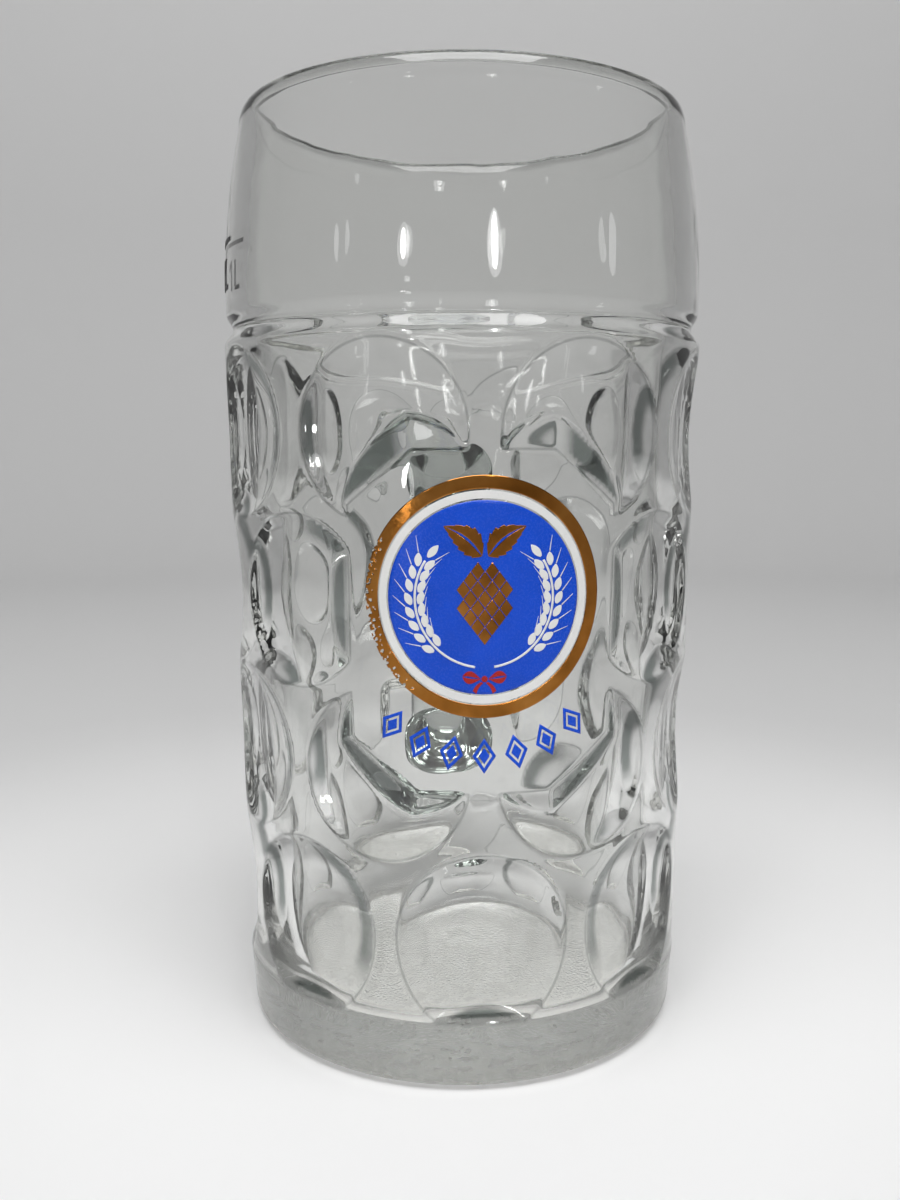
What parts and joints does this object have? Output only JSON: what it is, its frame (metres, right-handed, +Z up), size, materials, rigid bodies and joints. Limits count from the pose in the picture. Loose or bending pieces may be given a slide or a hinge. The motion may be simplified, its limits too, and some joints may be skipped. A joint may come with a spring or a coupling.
{
  "type": "glass beer mug",
  "caption": "Tall dimpled glass beer mug with a smooth drinking band, a plain print panel on the front and a fused glass handle behind.",
  "frame": {"origin": "centre of the flat underside of the foot, on the body's axis", "axes": "+Z up along the body's axis, -Y out of the print panel, +Y towards the handle"},
  "size_m": [0.1046, 0.1564, 0.199],
  "materials": {
    "glass": "clear, fire polished",
    "gold_print": "bright fired gold",
    "white_print": "fired enamel",
    "blue_print": "fired enamel",
    "red_print": "fired enamel",
    "black_print": "fired enamel"
  },
  "bodies": {
    "root": {"glass_body": "glass", "handle": "glass", "emblem_gold_border": "gold_print", "emblem_white_ring": "white_print", "emblem_blue_field": "blue_print", "emblem_hop_cone": "gold_print", "emblem_hop_leaf_left": "gold_print", "emblem_hop_leaf_right": "gold_print", "emblem_barley_left": "white_print", "emblem_barley_right": "white_print", "emblem_ribbon": "red_print", "lozenge_1": "blue_print", "lozenge_2": "blue_print", "lozenge_3": "blue_print", "lozenge_4": "blue_print", "lozenge_5": "blue_print", "lozenge_6": "blue_print", "lozenge_7": "blue_print", "fill_line": "black_print", "volume_numeral": "black_print", "volume_unit": "black_print"}
  },
  "joints": []
}
